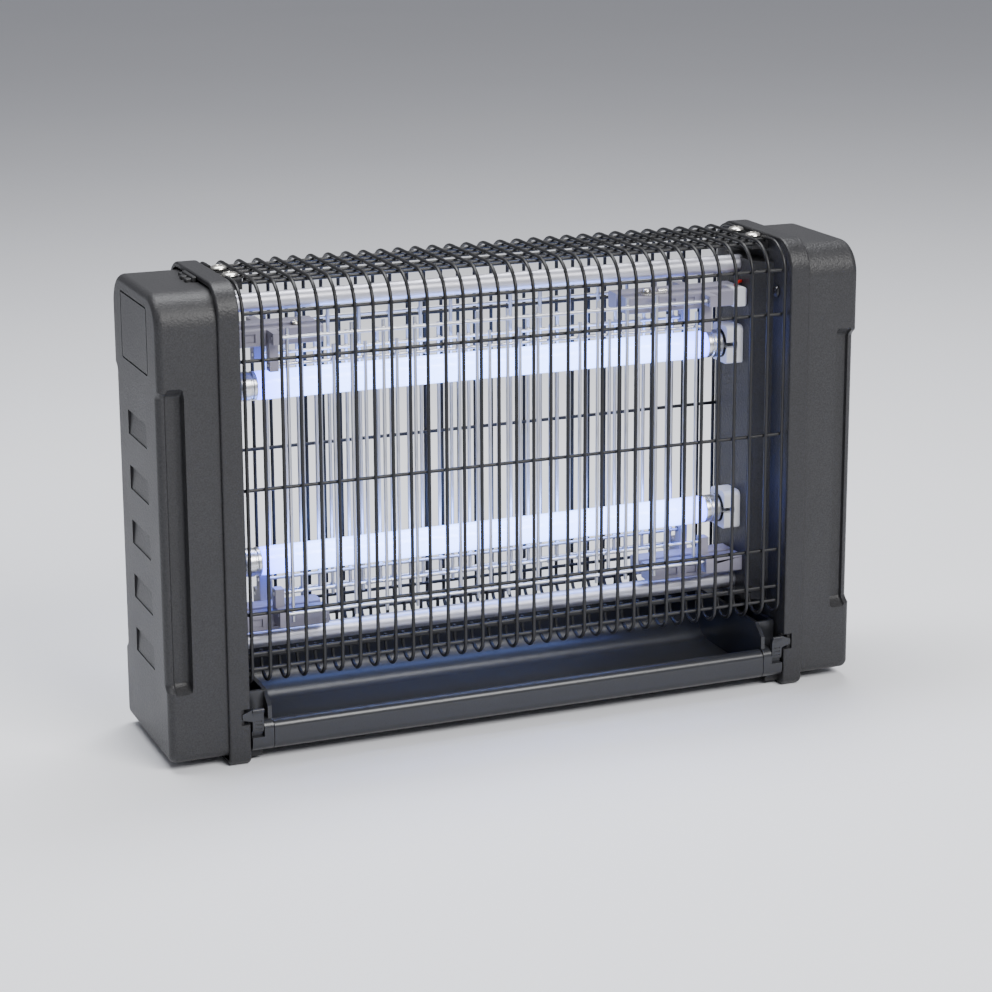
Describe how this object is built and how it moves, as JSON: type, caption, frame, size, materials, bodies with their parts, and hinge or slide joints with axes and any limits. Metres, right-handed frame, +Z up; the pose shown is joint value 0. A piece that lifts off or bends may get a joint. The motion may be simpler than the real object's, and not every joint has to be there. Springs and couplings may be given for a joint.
{
  "type": "electric bug zapper",
  "caption": "Free-standing electric insect killer: ultraviolet tubes between high-voltage grids and wire guards, moulded end housings and a pull-out catch tray.",
  "frame": {"origin": "under the middle of the unit, on the surface that the two end frames rest on", "axes": "+X along the tubes, from the left to the right housing seen from the front; -Y is the front; +Z is up"},
  "size_m": [0.408, 0.094, 0.2611],
  "materials": {
    "shell": "fine-textured anthracite moulded ABS",
    "frame": "fine-textured anthracite moulded ABS",
    "guard_coating": "dark grey satin powder-coated steel wire",
    "tray": "smooth dark grey moulded plastic",
    "lampholder": "white moulded plastic",
    "insulator": "pale grey moulded plastic",
    "tube_glass": "lit ultraviolet tube with phosphor-coated glass",
    "tube_base": "drawn aluminium tube base",
    "bright_steel": "bright zinc-plated steel",
    "grid_steel": "bright steel wire",
    "tie_bar": "bright aluminium bar",
    "board": "green circuit board",
    "copper": "enamelled copper winding on a core",
    "black_plastic": "black moulded plastic"
  },
  "bodies": {
    "root": {"left_end_cap": "shell", "right_end_cap": "shell", "left_end_frame": "frame", "right_end_frame": "frame", "snap_peg": "frame", "upper_tie_bar": "tie_bar", "lower_tie_bar": "tie_bar", "front_guard": "guard_coating", "rear_guard": "guard_coating", "guard_screw_front_left": "bright_steel", "guard_screw_front_right": "bright_steel", "guard_screw_rear_left": "bright_steel", "guard_screw_rear_right": "bright_steel", "terminal_screw_left": "bright_steel", "terminal_screw_right": "bright_steel", "ring_terminal": "bright_steel", "cap_screw_upper_left": "bright_steel", "cap_screw_upper_right": "bright_steel", "cap_screw_lower_left": "bright_steel", "cap_screw_lower_right": "bright_steel", "lampholder_upper_left": "lampholder", "lampholder_upper_right": "lampholder", "lampholder_lower_left": "lampholder", "lampholder_lower_right": "lampholder", "front_grid_live": "grid_steel", "front_grid_return": "grid_steel", "rear_grid_live": "grid_steel", "rear_grid_return": "grid_steel", "insulator_front_upper_left": "insulator", "insulator_front_upper_right": "insulator", "insulator_front_lower_left": "insulator", "insulator_front_lower_right": "insulator", "insulator_rear_upper_left": "insulator", "insulator_rear_upper_right": "insulator", "insulator_rear_lower_left": "insulator", "insulator_rear_lower_right": "insulator", "ballast_board": "board", "high_voltage_board": "board", "ballast_choke": "copper", "ballast_capacitor": "black_plastic", "high_voltage_transformer": "black_plastic", "high_voltage_capacitor_front": "black_plastic", "high_voltage_capacitor_rear": "black_plastic", "cable_gland": "black_plastic", "gland_nut": "black_plastic", "mains_terminal_block": "lampholder"},
    "tray": {"tray_pan": "tray", "tray_end_left": "tray", "tray_end_right": "tray"},
    "latch_left": {"tray_latch_left": "tray"},
    "latch_right": {"tray_latch_right": "tray"},
    "upper_tube": {"upper_tube_glass": "tube_glass", "upper_tube_base_left": "tube_base", "upper_tube_base_right": "tube_base"},
    "lower_tube": {"lower_tube_glass": "tube_glass", "lower_tube_base_left": "tube_base", "lower_tube_base_right": "tube_base"}
  },
  "joints": [
    {"name": "tray_slide", "type": "slide", "parent": "root", "child": "tray", "axis": [0, -1, 0], "range_m": [0, 0.09]},
    {"name": "latch_left_tilt", "type": "hinge", "parent": "tray", "child": "latch_left", "pos_m": [-0.1543, -0.0405, 0.0155], "axis": [1, 0, 0], "range_deg": [0, 25], "stiffness_Nm_per_rad": 0.05},
    {"name": "latch_right_tilt", "type": "hinge", "parent": "tray", "child": "latch_right", "pos_m": [0.1543, -0.0405, 0.0155], "axis": [1, 0, 0], "range_deg": [0, 25], "stiffness_Nm_per_rad": 0.05},
    {"name": "upper_tube_twist", "type": "hinge", "parent": "root", "child": "upper_tube", "pos_m": [-0.005, 0, 0.1962], "axis": [1, 0, 0], "range_deg": [0, 90]},
    {"name": "lower_tube_twist", "type": "hinge", "parent": "root", "child": "lower_tube", "pos_m": [-0.005, 0, 0.098], "axis": [1, 0, 0], "range_deg": [0, 90]}
  ]
}
